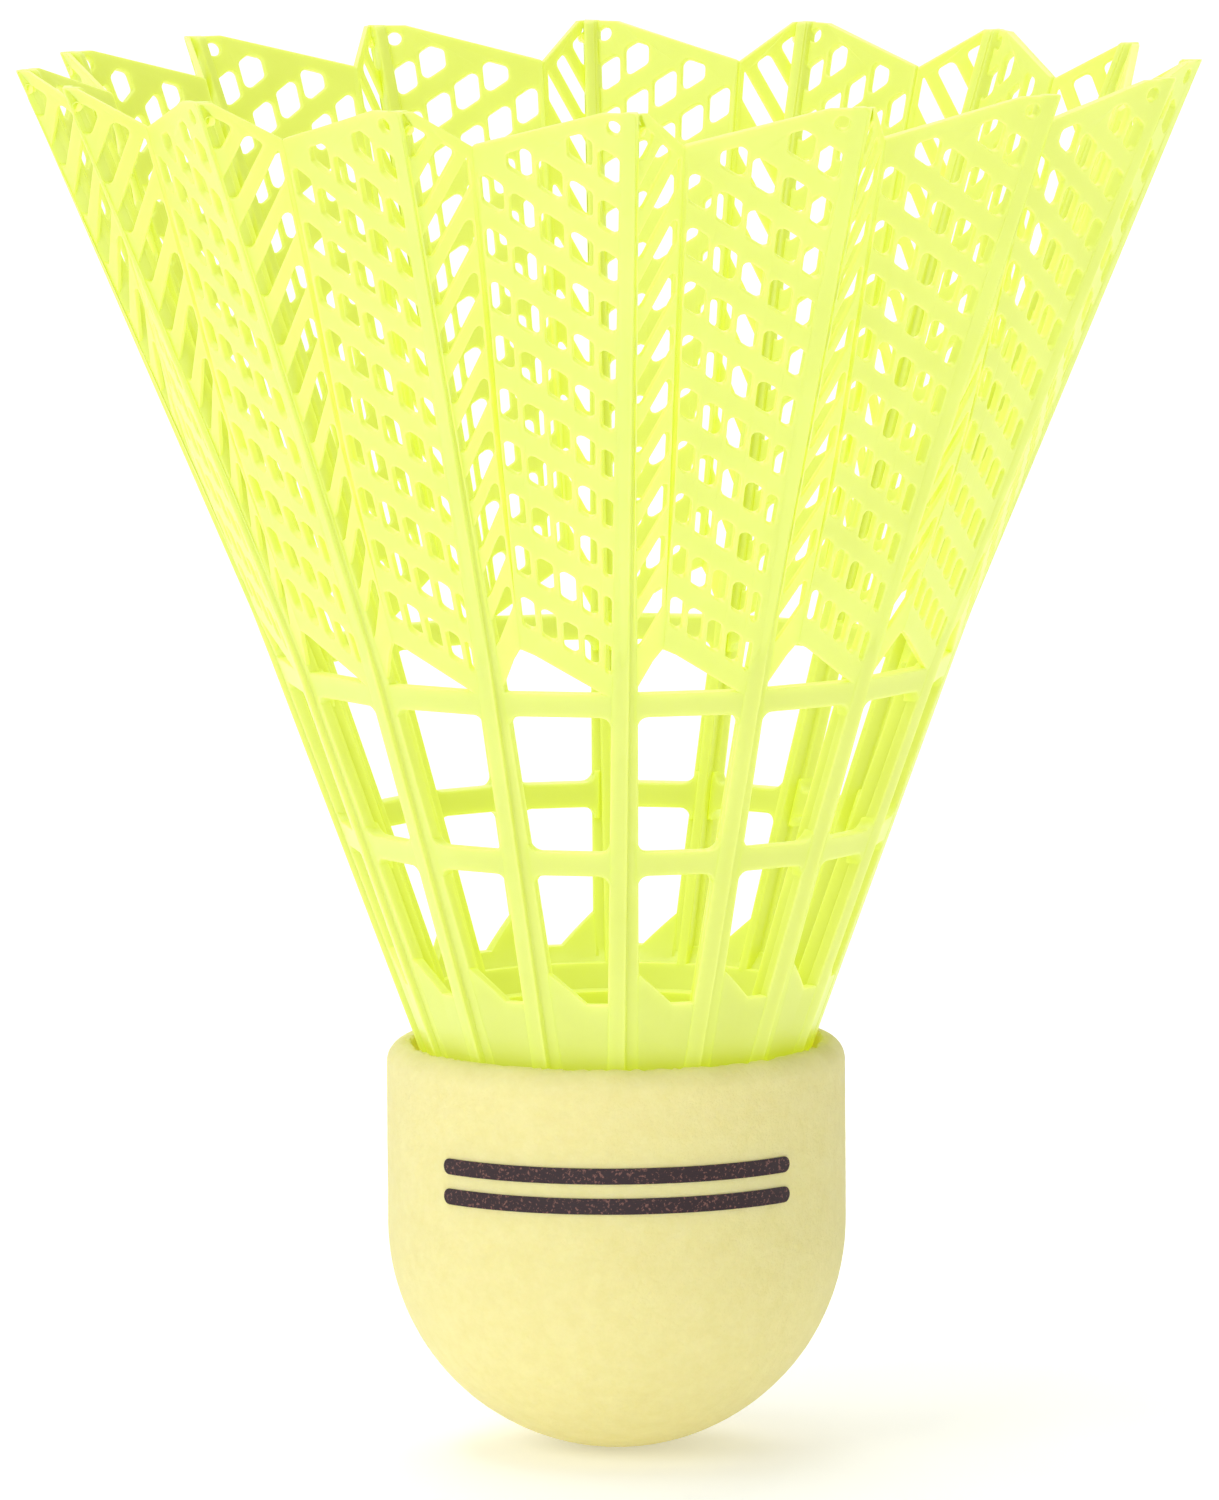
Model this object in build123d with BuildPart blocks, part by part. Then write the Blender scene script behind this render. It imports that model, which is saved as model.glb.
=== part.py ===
from build123d import *
from math import cos, hypot, radians, sin, tan
import os

# A badminton shuttlecock: a moulded nylon skirt glued into a foam head.
# Millimetres. The axis is +Z, the nose touches Z = 0 and the skirt opens upwards.
# Azimuth is counted from -Y towards +X, so it grows to the right seen from outside.

# --- Overall shape of the skirt -------------------------------------------------
vane_count = 16
vane_turn = 2.5  # azimuth of the first stem
tip_radius = 33.4  # outermost edge of a vane, at its top
tip_height = 78.5
hoop_radius = 19.45  # outside of a stem at the top of the upper hoop
upper_hoop_top = 45.3
lower_hoop_top = 36.0
hoop_height = 1.4
hoop_wall = 1.0
rim_radius = 11.35  # outside of a stem level with the top of the head

# --- Foam head ------------------------------------------------------------------
head_radius = 13.0
head_height = 23.3
rim_round = 1.2
mouth_gap = 0.25  # clearance between the stems and the foam around them
glue_thickness = 0.15

# --- Vanes: one wide gentle panel and one narrow steep panel on each stem ---------
valley_height = 76.4  # where two neighbouring vanes meet at the top
valley_radius = 29.65
valley_behind = 17.2  # degrees from a stem back to the valley of its gentle panel
valley_bend = 58.5  # below this height the valleys lie almost level with the stems
valley_share = 0.987  # their radius there, as a share of the stems'
panel_thickness = 0.45
panel_border = 1.0  # unpierced band along the top edge, measured along the fold
tip_flat_gentle = 2.17  # level stretch of the top edge, measured from the fold
tip_flat_steep = 0.8
barb_pitch = 3.02  # along the fold
barb_width = 1.25  # along the fold
row_count = 11
gentle_barb_slope = 0.47  # rise along the fold for each millimetre across the panel
steep_barb_slope = 1.1
gentle_foot = -1.0  # lower edge of each panel, up the fold from the top of the upper hoop
steep_foot = -0.3
gentle_lowest_row = 1.4  # middle of the lowest holes, up the fold from the top of the hoop
steep_lowest_row = 3.1
column_count = 5
column_bar = 0.32  # thin bars between the columns of holes
column_share = 0.186  # angle of one column as a share of the gentle panel's angle
valley_bar = 0.28
smallest_hole = 0.35  # square millimetres
tip_hole_radius = 0.42
tip_hole_drop = 1.2  # below the tip, along the fold
tip_hole_across = 1.42
panel_lap = 0.05  # each panel starts this far inside its stem, which then trims it
valley_margin = 1.5  # each panel runs this far past its valley before it is mitred

# --- Stems ----------------------------------------------------------------------
stem_face = 1.05  # outer face, flush with the gentle panel
stem_flange = 0.75  # thickness of the outer face's edge
stem_ledge_bottom = 0.75  # ledge on the steep side, at the collar
stem_ledge_hoop = 0.5
stem_ledge_tip = 0.12
ledge_drop = 0.42  # how far the ledge lies behind the outer face
ledge_drop_tip = 0.08
ledge_thickness = 0.75
web_left = 0.5  # inner web, either side of the fold
web_right = 0.1
stem_depth_bottom = 2.0
stem_depth_hoop = 1.9
stem_depth_tip = 1.35
face_angle = 16.0  # degrees by which the outer face leans back from the tangent

# --- Collar and spigot ------------------------------------------------------------
collar_top = 27.0  # sill of the windows between the stems
gusset_height = 1.8
gusset_width = 1.9
collar_seat = 22.0  # underside of the collar, on the foam's shoulder
collar_wall = 1.7  # from the stems' outer face to the inner wall
inner_step_height = 1.3
inner_step = 0.65
spigot_radius = 10.5
spigot_draft = 2.0  # degrees
spigot_wall = 1.1
spigot_bottom = 16.0
spigot_floor = 1.2

# --- Printed stripes ----------------------------------------------------------------
ink_thickness = 0.05
stripe_height = 0.9
stripe_heights = (15.3, 17.0)
stripe_span = 96.0  # degrees, centred on the front

# --- Derived values -------------------------------------------------------------------
vane_pitch = 360 / vane_count
valley_ahead = vane_pitch - valley_behind
fold_slope = (tip_radius - hoop_radius) / (tip_height - upper_hoop_top)
cone_slope = (hoop_radius - rim_radius) / (upper_hoop_top - head_height)
apex = Vector(0, 0, tip_height - tip_radius / fold_slope)
mouth_radius = rim_radius + mouth_gap
spigot_bottom_radius = spigot_radius - (collar_seat - spigot_bottom) * tan(radians(spigot_draft))


def on_cone(radius, height, azimuth):
    """The point at this radius and height, in the direction of the azimuth."""
    angle = radians(azimuth)
    return Vector(radius * sin(angle), -radius * cos(angle), height)


def fold_radius(height):
    """Radius of the stems' outermost edge: a cone up to the hoop, a wider one above."""
    if height > upper_hoop_top:
        return hoop_radius + (height - upper_hoop_top) * fold_slope
    return hoop_radius - (upper_hoop_top - height) * cone_slope


def beside_fold(height, azimuth, along, outward):
    """A plan point given from the fold: along the tangent (ahead) and outward."""
    fold = on_cone(fold_radius(height), 0, azimuth)
    ahead = Vector(cos(radians(azimuth)), sin(radians(azimuth)), 0)
    away = Vector(sin(radians(azimuth)), -cos(radians(azimuth)), 0)
    point = fold + ahead * along + away * outward
    return (point.X, point.Y)


def valley_radius_at(height):
    """Radius of the valleys: close to the stems up to the bend, then ever deeper."""
    if height <= valley_bend:
        return fold_radius(height) * valley_share
    bend_radius = fold_radius(valley_bend) * valley_share
    share = (height - valley_bend) / (valley_height - valley_bend)
    return bend_radius + (valley_radius - bend_radius) * share


# The barbs are laid out on flat panels through the cone's apex, a fold and a valley.
# There, x runs up the fold from the apex and y runs across to the valley.
fold_line = on_cone(tip_radius, tip_height, vane_turn) - apex
hoop_on_fold = hypot(hoop_radius, upper_hoop_top - apex.Z)  # distance from the apex
mean_valley_height = (valley_bend + valley_height) / 2


class Layout:
    """One panel's flat layout, and how it is laid on the twisted sheet."""

    def __init__(self, valley_azimuth):
        valley = on_cone(valley_radius, valley_height, valley_azimuth) - apex
        self.azimuth = valley_azimuth
        self.angle = fold_line.get_angle(valley)
        self.valley_up = valley.length * cos(radians(self.angle))
        self.valley_across = valley.length * sin(radians(self.angle))
        self.flat = Plane(origin=apex, x_dir=fold_line, z_dir=fold_line.cross(valley))
        self.level = self.flat.y_dir.Z / self.flat.x_dir.Z  # fall of a level line along the fold
        mean = on_cone(valley_radius_at(mean_valley_height), mean_valley_height, valley_azimuth)
        self.facing = Plane(origin=apex, x_dir=fold_line, z_dir=fold_line.cross(mean - apex))

    def on_sheet(self, up, across):
        """Where a point of the flat layout falls, as seen square on to the twisted sheet."""
        height = (self.flat.origin + self.flat.x_dir * up + self.flat.y_dir * across).Z
        reach = (height - apex.Z) / (valley_height - apex.Z)
        share = across / (self.valley_across * reach)
        fold = on_cone(fold_radius(height), height, vane_turn)
        valley = on_cone(valley_radius_at(height), height, self.azimuth)
        point = self.facing.to_local_coords(fold + (valley - fold) * share)
        return (point.X, point.Y)


gentle = Layout(vane_turn - valley_behind)
steep = Layout(vane_turn + valley_ahead)


lean = radians(face_angle)
face_far_edge = (-stem_face * cos(lean), -stem_face * sin(lean))  # from the fold


def stem_outline(height, azimuth, ledge, drop, depth):
    """Section of a stem: outer face, ledge on the steep side, and inner web."""
    under = (
        face_far_edge[0] + stem_flange * sin(lean),
        face_far_edge[1] - stem_flange * cos(lean),
    )
    corners = [
        (0, 0),
        face_far_edge,
        under,
        (-web_left, under[1]),
        (-web_left, -depth),
        (web_right, -depth),
        (web_right, -drop - ledge_thickness),
        (ledge, -drop - ledge_thickness),
        (ledge, -drop),
        (0, -drop),
    ]
    return [beside_fold(height, azimuth, *corner) for corner in corners]


def ratchet_outline(height):
    """Outline through every stem's face and ledge, joined by straight ramps."""
    ledge = ledge_at(height)[0]
    points = []
    for number in range(vane_count):
        azimuth = vane_turn + number * vane_pitch
        for corner in (face_far_edge, (0, 0), (0, -ledge_drop), (ledge, -ledge_drop)):
            points.append(beside_fold(height, azimuth, *corner))
    return points


def ledge_at(height):
    """Width of the stems' ledge and its drop below the outer face."""
    if height <= upper_hoop_top:
        share = (height - collar_top) / (upper_hoop_top - collar_top)
        return stem_ledge_bottom + (stem_ledge_hoop - stem_ledge_bottom) * share, ledge_drop
    share = (height - upper_hoop_top) / (tip_height - upper_hoop_top)
    width = stem_ledge_hoop + (stem_ledge_tip - stem_ledge_hoop) * share
    return width, ledge_drop + (ledge_drop_tip - ledge_drop) * share


def turned(shape, number):
    """A copy of the first vane's shape, turned to the stem with this number."""
    return shape.rotate(Axis.Z, number * vane_pitch)


def save(part, name):
    part.label = name
    export_step(part, f"parts/{name}.step")


os.makedirs("parts", exist_ok=True)

# --- Stems ----------------------------------------------------------------------
# Two straight lengths that meet at the upper hoop, the lower one the steeper cone.
stem_depths = ((collar_top, stem_depth_bottom), (upper_hoop_top, stem_depth_hoop))
vane_depths = ((upper_hoop_top, stem_depth_hoop), (tip_height, stem_depth_tip))
with BuildPart() as stem:
    for depths in (stem_depths, vane_depths):
        for height, depth in depths:
            with BuildSketch(Plane.XY.offset(height)):
                Polygon(*stem_outline(height, vane_turn, *ledge_at(height), depth), align=None)
        loft(ruled=True)
stems = [turned(stem.part, number) for number in range(vane_count)]

# --- Hoops: straight ramps between the stems ------------------------------------------


def hoop_between_stems(top):
    """One hoop as separate bars, each ending on the faces of two stems."""
    bottom = top - hoop_height
    with BuildPart() as hoop:
        for height in (bottom, top):
            with BuildSketch(Plane.XY.offset(height)):
                Polygon(*ratchet_outline(height), align=None)
        loft(ruled=True)
        for height in (bottom, top):
            with BuildSketch(Plane.XY.offset(height)):
                Circle(fold_radius(height) - ledge_drop - hoop_wall)
        loft(mode=Mode.SUBTRACT)
        add(stems, mode=Mode.SUBTRACT)
    return hoop.part


save(hoop_between_stems(upper_hoop_top), "upper_hoop")
save(hoop_between_stems(lower_hoop_top), "lower_hoop")

# --- Collar: a ratchet-shaped ring below the windows, with a gusset beside each stem ----
gusset_top = collar_top + gusset_height


def inner_wall(height):
    return fold_radius(height) - collar_wall


with BuildPart() as gusset_band:
    for height in (collar_top, gusset_top):
        with BuildSketch(Plane.XY.offset(height)):
            Polygon(*ratchet_outline(height), align=None)
    loft(ruled=True)
    for height in (collar_top, gusset_top):
        with BuildSketch(Plane.XY.offset(height)):
            Circle(inner_wall(height) + inner_step)
    loft(mode=Mode.SUBTRACT)
    add(stems, mode=Mode.SUBTRACT)

with BuildPart() as gusset_wedges:
    for number in range(vane_count):
        azimuth = vane_turn + number * vane_pitch
        facing = Plane(
            origin=(0, 0, collar_top),
            x_dir=(cos(radians(azimuth)), sin(radians(azimuth)), 0),
            z_dir=(sin(radians(azimuth)), -cos(radians(azimuth)), 0),
        )
        with BuildSketch(facing):
            Polygon((0, 0), (gusset_width + stem_ledge_bottom, 0), (0, gusset_height), align=None)
        extrude(amount=2 * rim_radius)

with BuildPart() as collar:
    for height in (collar_seat, collar_top):
        with BuildSketch(Plane.XY.offset(height)):
            Polygon(*ratchet_outline(height), align=None)
    loft(ruled=True)
    step_height = collar_top - inner_step_height
    with BuildSketch(Plane.XZ):
        with BuildLine():
            Polyline(
                (0, collar_seat),
                (spigot_radius - spigot_wall, collar_seat),
                (inner_wall(step_height) - inner_step, step_height),
                (inner_wall(step_height), step_height),
                (inner_wall(collar_top), collar_top),
                (0, collar_top),
                close=True,
            )
        make_face()
    revolve(mode=Mode.SUBTRACT)
    add(gusset_band.part & gusset_wedges.part)
save(collar.part, "collar")

# --- Spigot: the cup below the collar that is glued into the head ----------------------
with BuildPart() as spigot:
    with BuildSketch(Plane.XZ):
        with BuildLine():
            Polyline(
                (0, spigot_bottom),
                (spigot_bottom_radius, spigot_bottom),
                (spigot_radius, collar_seat),
                (spigot_radius - spigot_wall, collar_seat),
                (spigot_bottom_radius - spigot_wall, spigot_bottom + spigot_floor),
                (0, spigot_bottom + spigot_floor),
                close=True,
            )
        make_face()
    revolve()
save(spigot.part, "spigot")

# --- Glue film around and under the spigot ----------------------------------------------
socket_radius = spigot_radius + glue_thickness
socket_bottom_radius = spigot_bottom_radius + glue_thickness
socket_bottom = spigot_bottom - glue_thickness
with BuildPart() as glue_film:
    with BuildSketch(Plane.XZ):
        with BuildLine():
            Polyline(
                (0, socket_bottom),
                (socket_bottom_radius, socket_bottom),
                (socket_radius, collar_seat),
                (spigot_radius, collar_seat),
                (spigot_bottom_radius, spigot_bottom),
                (0, spigot_bottom),
                close=True,
            )
        make_face()
    revolve()
save(glue_film.part, "glue_film")

# --- Foam head: hemisphere, cylinder, rounded rim and socket ------------------------------
with BuildPart() as foam_head:
    with BuildSketch(Plane.XZ):
        with BuildLine():
            CenterArc((0, head_radius), head_radius, -90, 90)
            Line((head_radius, head_radius), (head_radius, head_height - rim_round))
            CenterArc((head_radius - rim_round, head_height - rim_round), rim_round, 0, 90)
            Polyline(
                (head_radius - rim_round, head_height),
                (mouth_radius, head_height),
                (mouth_radius, collar_seat),
                (socket_radius, collar_seat),
                (socket_bottom_radius, socket_bottom),
                (0, socket_bottom),
                (0, 0),
            )
        make_face()
    revolve()
save(foam_head.part, "foam_head")

# --- Printed stripes on the front of the head ----------------------------------------------
with BuildPart() as printed_stripes:
    with BuildSketch(Plane.XZ):
        for height in stripe_heights:
            with Locations((head_radius, height)):
                Rectangle(ink_thickness, stripe_height, align=(Align.MIN, Align.MIN))
    revolve(revolution_arc=stripe_span)
front = -90 - stripe_span / 2
save(printed_stripes.part.rotate(Axis.Z, front), "printed_stripes")

# --- Vanes ------------------------------------------------------------------------------
# A panel's outline is its foot, parallel to the barbs, the fold, the level tip, the sloping
# top edge and a margin past the valley, where the sheet itself ends.


def panel_outline(layout, tip_flat, foot, barb_slope, border=0.0):
    """Corners of a panel in its flat layout, its top edge lowered by a border."""
    tip = fold_line.length - border
    tip_corner = tip - layout.level * tip_flat
    top_slope = (tip_corner + border - layout.valley_up) / (layout.valley_across - tip_flat)
    far = layout.valley_across + valley_margin
    return [
        (foot, 0),
        (tip, 0),
        (tip_corner, tip_flat),
        (tip_corner - (far - tip_flat) * top_slope, far),
        (foot + barb_slope * far, far),
    ]


def slanted_hole(middle_at_fold, barb_slope, left, right):
    """A hole between two barbs and two lines, each line an (angle, offset) pair."""
    half = (barb_pitch - barb_width) / 2
    corners = []
    for line, sign in ((left, -1), (left, 1), (right, 1), (right, -1)):
        angle, offset = line
        slope = tan(radians(angle))
        up = (middle_at_fold + sign * half + barb_slope * offset) / (1 - barb_slope * slope)
        corners.append((up, up * slope + offset))
    return corners


def laid_out(layout, corners):
    """A polygon of the flat layout, seen square on to the twisted sheet."""
    return Polygon(*[layout.on_sheet(*corner) for corner in corners], align=None)


def pierced(layout, holes, border):
    """The holes as far as they lie inside the border, without the smallest scraps."""
    kept = []
    inside = laid_out(layout, border)
    for hole in holes:
        shape = laid_out(layout, hole) & inside
        kept += [face for face in shape.faces() if face.area > smallest_hole]
    return kept


bar_angles = [gentle.angle * (1 - column_share * bar) for bar in range(column_count)]
gentle_holes = []
for row in range(row_count):
    middle = hoop_on_fold + gentle_lowest_row + row * barb_pitch
    for column, bar_angle in enumerate(bar_angles):
        outer_bar = valley_bar if column == 0 else column_bar / 2
        outer_line = (bar_angle, -outer_bar)
        if column + 1 < column_count:
            inner_line = (bar_angles[column + 1], column_bar / 2)
        else:
            inner_line = (0, stem_face)
        gentle_holes.append(slanted_hole(middle, gentle_barb_slope, inner_line, outer_line))

steep_holes = []
for row in range(row_count):
    middle = hoop_on_fold + steep_lowest_row + row * barb_pitch
    ends = ((0, stem_ledge_tip), (steep.angle, -valley_bar))
    steep_holes.append(slanted_hole(middle, steep_barb_slope, *ends))

gentle_shape = (gentle, tip_flat_gentle, hoop_on_fold + gentle_foot, gentle_barb_slope)
steep_shape = (steep, tip_flat_steep, hoop_on_fold + steep_foot, steep_barb_slope)
gentle_cuts = pierced(gentle, gentle_holes, panel_outline(*gentle_shape, panel_border))
steep_cuts = pierced(steep, steep_holes, panel_outline(*steep_shape, panel_border))
tip_hole = gentle.on_sheet(fold_line.length - tip_hole_drop, tip_hole_across)
gentle_cuts.append(Pos(*tip_hole) * Circle(tip_hole_radius))


def sheet_section(start, height, valley_azimuth):
    """Plan of a sheet from a point inside its stem to its valley, where it is mitred."""
    start = Vector(*start)
    valley = on_cone(valley_radius_at(height), 0, valley_azimuth)
    along = (valley - start).normalized()
    start = start - along * panel_lap
    inward = along.cross(Vector(0, 0, 1))
    if inward.dot(valley) > 0:
        inward = -inward
    inner_start = start + inward * (panel_thickness * hypot(1, fold_slope))
    mitre = inner_start.cross(along).Z / valley.cross(along).Z
    return [(p.X, p.Y) for p in (start, valley, valley * mitre, inner_start)]


def panel(layout, outline, cuts, stem_side):
    """A pierced sheet, twisted between its stem and its valley."""
    with BuildPart() as sheet:
        for low, high in ((upper_hoop_top, valley_bend), (valley_bend, tip_height)):
            for height in (low, high):
                start = beside_fold(height, vane_turn, *stem_side(height))
                with BuildSketch(Plane.XY.offset(height)):
                    Polygon(*sheet_section(start, height, layout.azimuth), align=None)
            loft(ruled=True)
        with BuildSketch(layout.facing):
            add(laid_out(layout, outline))
            add(cuts, mode=Mode.SUBTRACT)
        extrude(amount=valley_radius / 2, both=True, mode=Mode.INTERSECT)
        add(stems[0], mode=Mode.SUBTRACT)
    return sheet.part.solids().sort_by(SortBy.VOLUME)[-1]


def ledge_edge(height):
    width, drop = ledge_at(height)
    return (width, -drop)


wide_panel = panel(gentle, panel_outline(*gentle_shape), gentle_cuts, lambda height: face_far_edge)
narrow_panel = panel(steep, panel_outline(*steep_shape), steep_cuts, ledge_edge)

for number in range(vane_count):
    save(turned(stem.part, number), f"stem_{number + 1:02d}")
    save(turned(wide_panel, number), f"wide_panel_{number + 1:02d}")
    save(turned(narrow_panel, number), f"narrow_panel_{number + 1:02d}")
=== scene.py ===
"""A synthetic badminton shuttlecock: moulded nylon skirt, foam head and plain printed stripes.

Shapes are worked out in millimetres in the CAD frame and built in metres. The axis is +Z,
the nose touches Z = 0, and azimuth runs from -Y towards +X.
"""

import math

import bpy
from mathutils import Matrix, Vector, noise


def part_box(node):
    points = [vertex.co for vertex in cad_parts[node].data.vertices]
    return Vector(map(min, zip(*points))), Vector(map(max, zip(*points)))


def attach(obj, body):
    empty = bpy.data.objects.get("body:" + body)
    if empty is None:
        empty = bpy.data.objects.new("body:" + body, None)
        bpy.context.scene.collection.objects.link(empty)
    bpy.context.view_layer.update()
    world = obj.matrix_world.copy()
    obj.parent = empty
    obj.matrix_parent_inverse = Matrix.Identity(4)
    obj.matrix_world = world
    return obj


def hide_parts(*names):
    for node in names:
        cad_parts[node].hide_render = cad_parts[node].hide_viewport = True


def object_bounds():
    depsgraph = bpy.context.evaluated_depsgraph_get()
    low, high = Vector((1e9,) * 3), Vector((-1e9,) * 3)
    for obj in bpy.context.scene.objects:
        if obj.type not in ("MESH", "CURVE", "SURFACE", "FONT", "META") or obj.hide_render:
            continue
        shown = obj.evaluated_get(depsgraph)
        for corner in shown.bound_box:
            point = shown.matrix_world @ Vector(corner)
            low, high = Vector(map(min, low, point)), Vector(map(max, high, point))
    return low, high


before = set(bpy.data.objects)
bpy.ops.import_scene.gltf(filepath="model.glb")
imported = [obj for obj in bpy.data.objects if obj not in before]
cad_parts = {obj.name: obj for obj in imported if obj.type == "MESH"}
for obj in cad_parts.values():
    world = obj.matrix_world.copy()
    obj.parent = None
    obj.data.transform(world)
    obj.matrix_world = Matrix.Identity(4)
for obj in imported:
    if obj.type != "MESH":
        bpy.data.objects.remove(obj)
cad_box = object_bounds()
MM = 0.001

# --- Sizes read from the CAD frame (mm) -------------------------------------------------


def node_box(node):
    """Lowest and highest corner of a CAD node, in millimetres."""
    return [Vector(corner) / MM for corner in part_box(node)]


head_low, head_high = node_box("foam_head")
HEAD_RADIUS = head_high.x
HEAD_HEIGHT = head_high.z
TIP_HEIGHT = cad_box[1][2] / MM
UPPER_HOOP = (node_box("upper_hoop")[0].z, node_box("upper_hoop")[1].z)
LOWER_HOOP = (node_box("lower_hoop")[0].z, node_box("lower_hoop")[1].z)
COLLAR_SEAT = node_box("collar")[0].z
COLLAR_TOP = node_box("stem_01")[0].z
SPIGOT_BOTTOM = node_box("spigot")[0].z
SPIGOT_RADIUS = node_box("spigot")[1].x

# --- Sizes shared with the design (mm and degrees) ----------------------------------------
VANE_COUNT = 16
VANE_PITCH = 360 / VANE_COUNT
VANE_TURN = 2.5
TIP_RADIUS = 33.4
HOOP_RADIUS = 19.45
RIM_RADIUS = 11.35
RIM_ROUND = 1.2
MOUTH_GAP = 0.25
VALLEY_HEIGHT = 76.4
VALLEY_RADIUS = 29.65
VALLEY_BEHIND = 17.2
VALLEY_AHEAD = VANE_PITCH - VALLEY_BEHIND
VALLEY_BEND = 58.5
VALLEY_SHARE = 0.987
PANEL_THICKNESS = 0.45
PANEL_BORDER = 1.0
TIP_FLAT_GENTLE = 2.17
TIP_FLAT_STEEP = 0.8
BARB_PITCH = 3.02
BARB_WIDTH = 1.25
ROW_COUNT = 11
GENTLE_BARB_SLOPE = 0.47
STEEP_BARB_SLOPE = 1.1
GENTLE_FOOT = -1.0
STEEP_FOOT = -0.3
GENTLE_LOWEST_ROW = 1.4
STEEP_LOWEST_ROW = 3.1
COLUMN_COUNT = 5
COLUMN_BAR = 0.32
COLUMN_SHARE = 0.186
VALLEY_BAR = 0.28
SMALLEST_HOLE = 0.35
TIP_HOLE_RADIUS = 0.42
TIP_HOLE_DROP = 1.2
TIP_HOLE_ACROSS = 1.42
STEM_FACE = 1.05
STEM_FLANGE = 0.75
LEDGE_THICKNESS = 0.75
WEB_LEFT = 0.5
WEB_RIGHT = 0.1
FACE_LEAN = 16.0
GUSSET_HEIGHT = 1.8
GUSSET_WIDTH = 1.9
COLLAR_WALL = 1.7
HOOP_WALL = 1.0
SPIGOT_WALL = 1.1
SPIGOT_FLOOR = 1.2
STRIPE_HEIGHT = 0.9
STRIPE_HEIGHTS = (15.3, 17.0)
STRIPE_SPAN = 96.0
INK_THICKNESS = 0.05

# --- Looks only (mm and degrees) ------------------------------------------------------------
SMOOTH_ANGLE = 32  # sharper edges of a moulding are shaded as edges
HOLE_ROUND = 0.34  # corners of the holes between the barbs
EDGE_ROUND = 0.1  # softened edges of the moulding
SUNK = 0.02  # how far the panels and hoops lie behind the design's outer faces
FACE_RECESS = 0.07  # how far the stems' faces lie behind that, under the panels
TIP_PIN = (1.25, 0.42, 0.2)  # ejector mark: below the tip, across from the fold, radius
FLARE = 0.62  # rounded corners of the windows beside the hoops
TOP_FLARE = 0.15  # the same above the upper hoop, where the panels start
HOOP_EDGE = 0.14  # softened edges of the hoops and the collar's rim
NARROW_THICKNESS = 0.3  # the narrow panels thin out towards their barbs
TOP_GAP = 0.03  # the panels' top edges lie this far under the stems' ends
RIM_NIBBLE = 0.3  # roughness of the foam's cut edge around the mouth
SKIRT_SAG = 0.25  # how far the vanes' flare curves in from a straight cone

FOLD_SLOPE = (TIP_RADIUS - HOOP_RADIUS) / (TIP_HEIGHT - UPPER_HOOP[1])
CONE_SLOPE = (HOOP_RADIUS - RIM_RADIUS) / (UPPER_HOOP[1] - HEAD_HEIGHT)
APEX = Vector((0, 0, TIP_HEIGHT - TIP_RADIUS / FOLD_SLOPE))


# --- Geometry helpers ---------------------------------------------------------------------


def mix(a, b, share):
    return a + (b - a) * share


def ramp(value, stops):
    """Straight-line interpolation through (position, value) stops."""
    if value <= stops[0][0]:
        return stops[0][1]
    for (x0, y0), (x1, y1) in zip(stops, stops[1:]):
        if value <= x1:
            return mix(y0, y1, (value - x0) / (x1 - x0))
    return stops[-1][1]


def on_cone(radius, height, azimuth):
    """The point at this radius and height, in the direction of the azimuth."""
    angle = math.radians(azimuth)
    return Vector((radius * math.sin(angle), -radius * math.cos(angle), height))


def fold_radius(height):
    """Radius of the stems' outermost edge: a cone up to the hoop, a wider one above."""
    if height > UPPER_HOOP[1]:
        return HOOP_RADIUS + (height - UPPER_HOOP[1]) * FOLD_SLOPE
    return HOOP_RADIUS - (UPPER_HOOP[1] - height) * CONE_SLOPE


def beside_fold(height, azimuth, along, outward):
    """A point given from the fold: along the tangent (ahead) and outward."""
    angle = math.radians(azimuth)
    ahead = Vector((math.cos(angle), math.sin(angle), 0))
    away = Vector((math.sin(angle), -math.cos(angle), 0))
    return on_cone(fold_radius(height), height, azimuth) + ahead * along + away * outward


def curved_in(point):
    """Draws a point of the vanes in, so that the skirt flares in a gentle curve."""
    share = (point.z - UPPER_HOOP[1]) / (TIP_HEIGHT - UPPER_HOOP[1])
    radius = math.hypot(point.x, point.y)
    if not 0 < share < 1 or radius == 0:
        return point
    keep = 1 - SKIRT_SAG * math.sin(math.pi * share) / radius
    return Vector((point.x * keep, point.y * keep, point.z))


def rounded(corners, radius, steps=4):
    """The polygon with every corner replaced by an arc of steps + 1 points."""
    points = []
    count = len(corners)
    for i, corner in enumerate(corners):
        here = Vector(corner)
        before = Vector(corners[i - 1]) - here
        after = Vector(corners[(i + 1) % count]) - here
        room = 0.48 * min(before.length, after.length)
        a, b = before.normalized(), after.normalized()
        half = a.angle(b) / 2
        if half > math.radians(89) or room < 1e-4:
            points += [here.copy() for _ in range(steps + 1)]
            continue
        reach = min(radius / math.tan(half), room)
        r = reach * math.tan(half)
        centre = here + (a + b).normalized() * (r / math.sin(half))
        start, end = here + a * reach - centre, here + b * reach - centre
        sweep = start.angle_signed(end)
        for step in range(steps + 1):
            turn = Matrix.Rotation(-sweep * step / steps, 2)
            points.append(centre + turn @ start)
    return points


def clipped(polygon, border):
    """The part of a convex polygon inside a convex border, both anticlockwise."""
    kept = [Vector(p) for p in polygon]
    for start, end in zip(border, list(border[1:]) + [border[0]]):
        start, edge = Vector(start), Vector(end) - Vector(start)
        inside = [edge.cross(p - start) >= 0 for p in kept]
        result = []
        for i, p in enumerate(kept):
            q, p_in, q_in = kept[i - 1], inside[i], inside[i - 1]
            if p_in != q_in:
                share = edge.cross(q - start) / edge.cross(q - p)
                result.append(q + (p - q) * share)
            if p_in:
                result.append(p)
        kept = result
        if not kept:
            return []
    return [p for i, p in enumerate(kept) if (p - kept[i - 1]).length > 0.02]


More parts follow.
